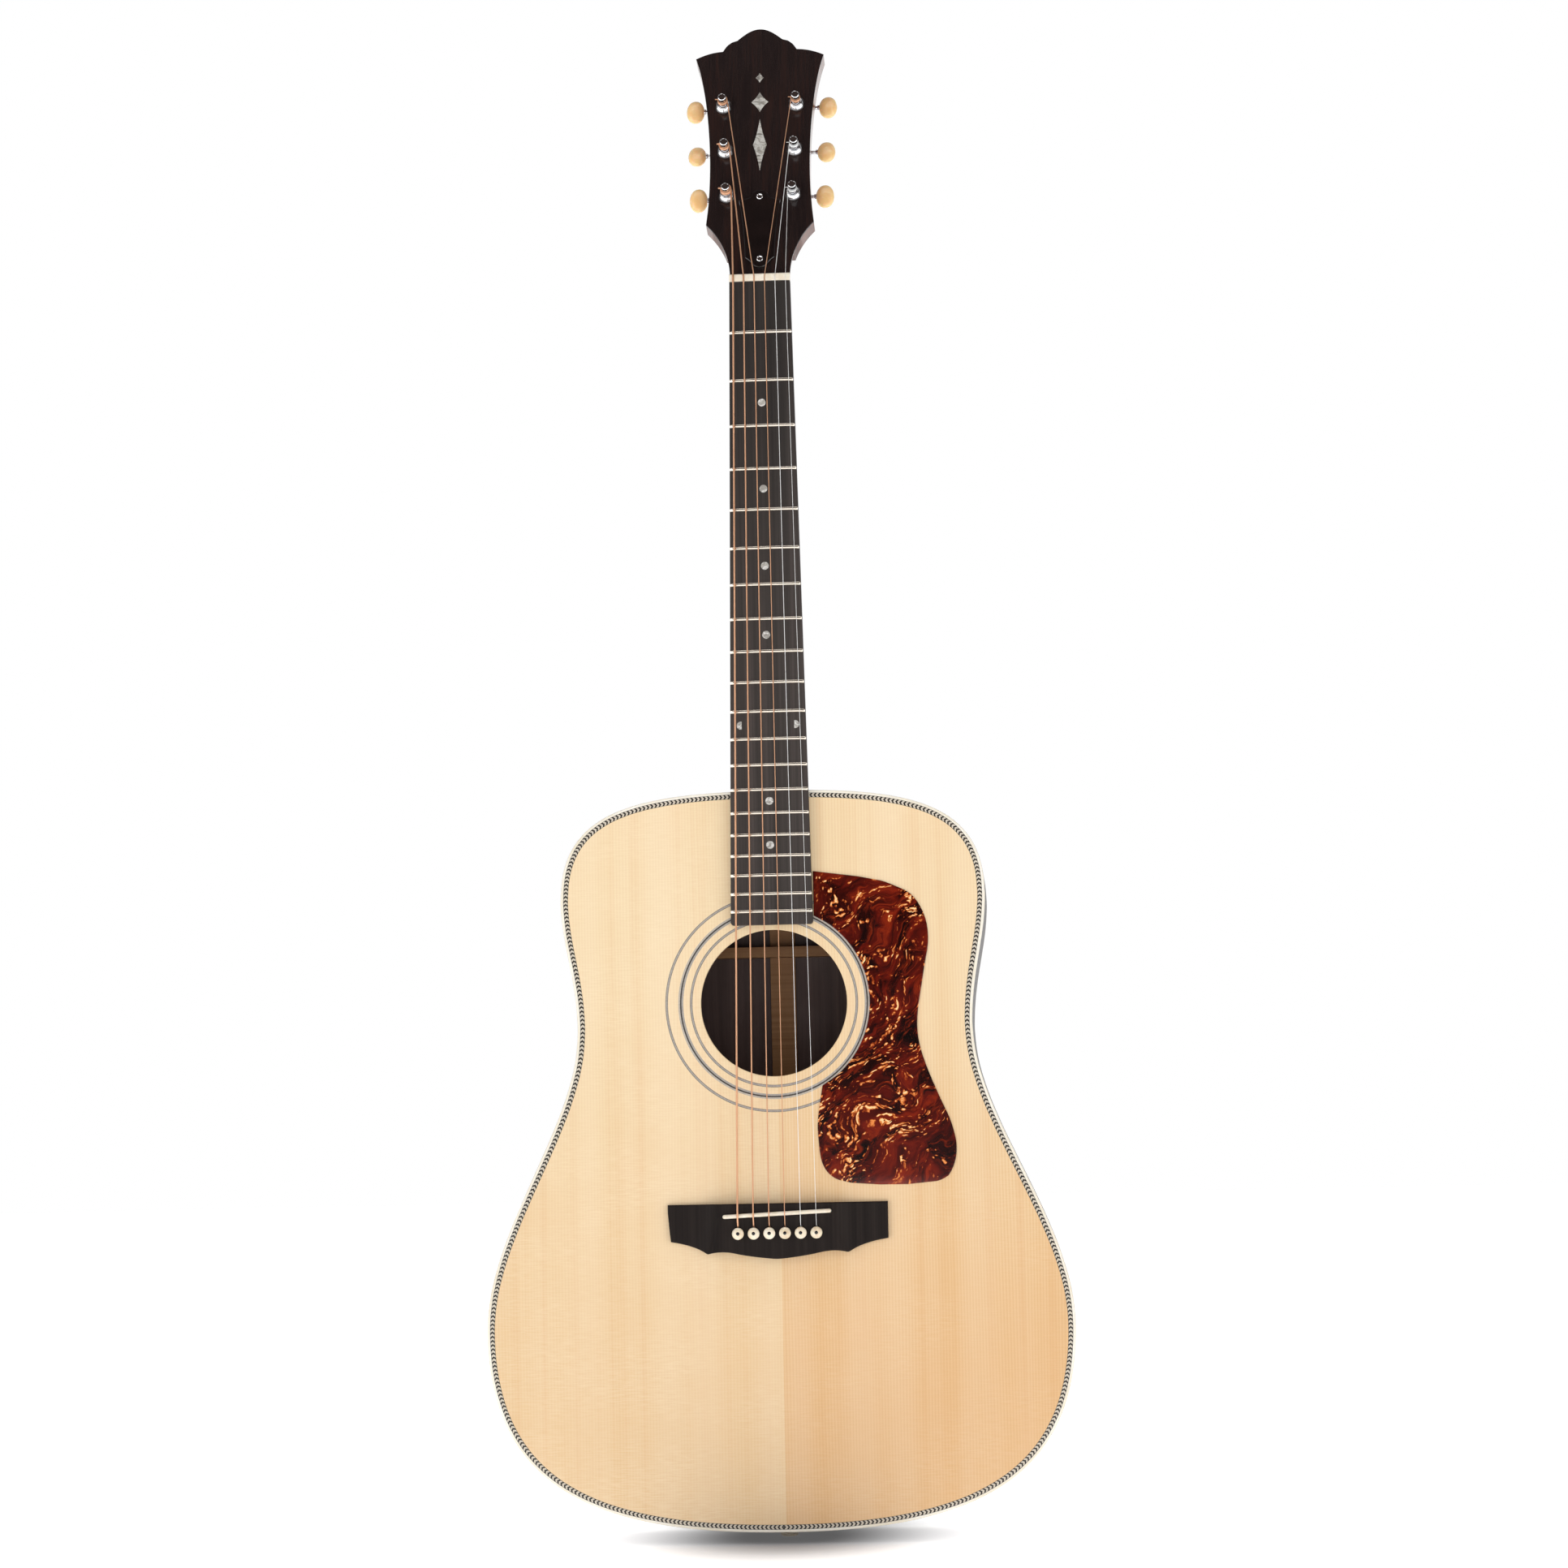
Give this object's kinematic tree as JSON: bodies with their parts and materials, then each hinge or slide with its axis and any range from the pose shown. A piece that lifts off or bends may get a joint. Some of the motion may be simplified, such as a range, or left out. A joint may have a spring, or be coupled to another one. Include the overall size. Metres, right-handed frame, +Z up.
{
  "type": "acoustic guitar",
  "caption": "Steel-string acoustic guitar with a wide waisted hollow body, round soundhole, pinned bridge, fretted neck and open-geared tuning machines.",
  "frame": {"origin": "centre of the end pin's flat outer face, the lowest point of the instrument", "axes": "+Z up the neck to the headstock, -Y out of the soundboard towards the player's audience, -X on the bass side"},
  "size_m": [0.4056, 0.1347, 1.079],
  "materials": {
    "spruce": "clear gloss over pale straight-grained softwood",
    "rosewood": "clear gloss over dark streaked hardwood",
    "mahogany": "satin clear coat over red-brown hardwood",
    "fretboard": "bare oiled near-black hardwood",
    "headplate": "clear gloss over near-black hardwood with faint reddish streaks",
    "bone": "polished bone",
    "ivoroid": "aged cream, buffed",
    "pin": "polished cream with a dark dot in the head",
    "tortoise": "polished mottled dark red and black with amber flecks",
    "chrome": "polished plate",
    "steel": "plain rod",
    "fret_wire": "polished nickel silver",
    "wound_string": "phosphor bronze winding",
    "plain_string": "bright plain wire",
    "button": "translucent aged cream",
    "cover": "polished black"
  },
  "bodies": {
    "guitar": {"soundboard": "spruce", "back": "rosewood", "side_treble": "rosewood", "side_bass": "rosewood", "top_binding": "ivoroid", "back_binding": "ivoroid", "top_lining": "mahogany", "back_lining": "mahogany", "neck_block": "mahogany", "tail_block": "mahogany", "top_bracing": "spruce", "bridge_plate": "rosewood", "back_bracing": "spruce", "neck": "mahogany", "headstock_veneer": "headplate", "truss_rod_cover": "cover", "fretboard": "fretboard", "frets": "fret_wire", "nut": "bone", "bridge": "fretboard", "saddle": "bone", "pickguard": "tortoise", "end_pin": "ivoroid", "string_6": "wound_string", "string_5": "wound_string", "string_4": "wound_string", "string_3": "wound_string", "string_2": "plain_string", "string_1": "plain_string", "tuner_plate_6": "chrome", "post_bushing_6": "chrome", "tuner_plate_5": "chrome", "post_bushing_5": "chrome", "tuner_plate_4": "chrome", "post_bushing_4": "chrome", "tuner_plate_3": "chrome", "post_bushing_3": "chrome", "tuner_plate_2": "chrome", "post_bushing_2": "chrome", "tuner_plate_1": "chrome", "post_bushing_1": "chrome"},
    "truss_rod": {"truss_rod": "steel"},
    "bridge_pin_6": {"bridge_pin_6": "pin"},
    "bridge_pin_5": {"bridge_pin_5": "pin"},
    "bridge_pin_4": {"bridge_pin_4": "pin"},
    "bridge_pin_3": {"bridge_pin_3": "pin"},
    "bridge_pin_2": {"bridge_pin_2": "pin"},
    "bridge_pin_1": {"bridge_pin_1": "pin"},
    "string_post_6": {"string_post_6": "chrome"},
    "string_post_5": {"string_post_5": "chrome"},
    "string_post_4": {"string_post_4": "chrome"},
    "string_post_3": {"string_post_3": "chrome"},
    "string_post_2": {"string_post_2": "chrome"},
    "string_post_1": {"string_post_1": "chrome"},
    "tuner_button_6": {"tuner_button_6": "button"},
    "tuner_button_5": {"tuner_button_5": "button"},
    "tuner_button_4": {"tuner_button_4": "button"},
    "tuner_button_3": {"tuner_button_3": "button"},
    "tuner_button_2": {"tuner_button_2": "button"},
    "tuner_button_1": {"tuner_button_1": "button"}
  },
  "joints": [
    {"name": "button_turn_6", "type": "hinge", "parent": "guitar", "child": "tuner_button_6", "pos_m": [-0.0237, -0.02367, 0.94987], "axis": [1, 0, 0], "continuous": true},
    {"name": "post_turn_6", "type": "hinge", "parent": "guitar", "child": "string_post_6", "pos_m": [-0.0237, -0.04535, 0.94724], "axis": [0, -0.9703, 0.2419], "continuous": true},
    {"name": "button_turn_5", "type": "hinge", "parent": "guitar", "child": "tuner_button_5", "pos_m": [-0.0249, -0.01493, 0.9849], "axis": [1, 0, 0], "continuous": true},
    {"name": "post_turn_5", "type": "hinge", "parent": "guitar", "child": "string_post_5", "pos_m": [-0.0249, -0.03661, 0.98226], "axis": [0, -0.9703, 0.2419], "continuous": true},
    {"name": "button_turn_4", "type": "hinge", "parent": "guitar", "child": "tuner_button_4", "pos_m": [-0.0263, -0.00608, 1.02041], "axis": [1, 0, 0], "continuous": true},
    {"name": "post_turn_4", "type": "hinge", "parent": "guitar", "child": "string_post_4", "pos_m": [-0.0263, -0.02776, 1.01778], "axis": [0, -0.9703, 0.2419], "continuous": true},
    {"name": "button_turn_3", "type": "hinge", "parent": "guitar", "child": "tuner_button_3", "pos_m": [0.0263, -0.00608, 1.02041], "axis": [1, 0, 0], "continuous": true},
    {"name": "post_turn_3", "type": "hinge", "parent": "guitar", "child": "string_post_3", "pos_m": [0.0263, -0.02776, 1.01778], "axis": [0, -0.9703, 0.2419], "continuous": true},
    {"name": "button_turn_2", "type": "hinge", "parent": "guitar", "child": "tuner_button_2", "pos_m": [0.0249, -0.01493, 0.9849], "axis": [1, 0, 0], "continuous": true},
    {"name": "post_turn_2", "type": "hinge", "parent": "guitar", "child": "string_post_2", "pos_m": [0.0249, -0.03661, 0.98226], "axis": [0, -0.9703, 0.2419], "continuous": true},
    {"name": "button_turn_1", "type": "hinge", "parent": "guitar", "child": "tuner_button_1", "pos_m": [0.0237, -0.02367, 0.94987], "axis": [1, 0, 0], "continuous": true},
    {"name": "post_turn_1", "type": "hinge", "parent": "guitar", "child": "string_post_1", "pos_m": [0.0237, -0.04535, 0.94724], "axis": [0, -0.9703, 0.2419], "continuous": true},
    {"name": "pin_pull_6", "type": "slide", "parent": "guitar", "child": "bridge_pin_6", "axis": [0, -1, 0], "range_m": [0, 0.03]},
    {"name": "pin_pull_5", "type": "slide", "parent": "guitar", "child": "bridge_pin_5", "axis": [0, -1, 0], "range_m": [0, 0.03]},
    {"name": "pin_pull_4", "type": "slide", "parent": "guitar", "child": "bridge_pin_4", "axis": [0, -1, 0], "range_m": [0, 0.03]},
    {"name": "pin_pull_3", "type": "slide", "parent": "guitar", "child": "bridge_pin_3", "axis": [0, -1, 0], "range_m": [0, 0.03]},
    {"name": "pin_pull_2", "type": "slide", "parent": "guitar", "child": "bridge_pin_2", "axis": [0, -1, 0], "range_m": [0, 0.03]},
    {"name": "pin_pull_1", "type": "slide", "parent": "guitar", "child": "bridge_pin_1", "axis": [0, -1, 0], "range_m": [0, 0.03]},
    {"name": "truss_rod_turn", "type": "hinge", "parent": "guitar", "child": "truss_rod", "pos_m": [0, -0.052, 0.7], "axis": [0, 0, 1], "range_deg": [-180, 180]}
  ],
  "couplings": [
    {"joint": "post_turn_6", "follows": "button_turn_6", "ratio": 0.071429},
    {"joint": "post_turn_5", "follows": "button_turn_5", "ratio": 0.071429},
    {"joint": "post_turn_4", "follows": "button_turn_4", "ratio": 0.071429},
    {"joint": "post_turn_3", "follows": "button_turn_3", "ratio": 0.071429},
    {"joint": "post_turn_2", "follows": "button_turn_2", "ratio": 0.071429},
    {"joint": "post_turn_1", "follows": "button_turn_1", "ratio": 0.071429}
  ]
}
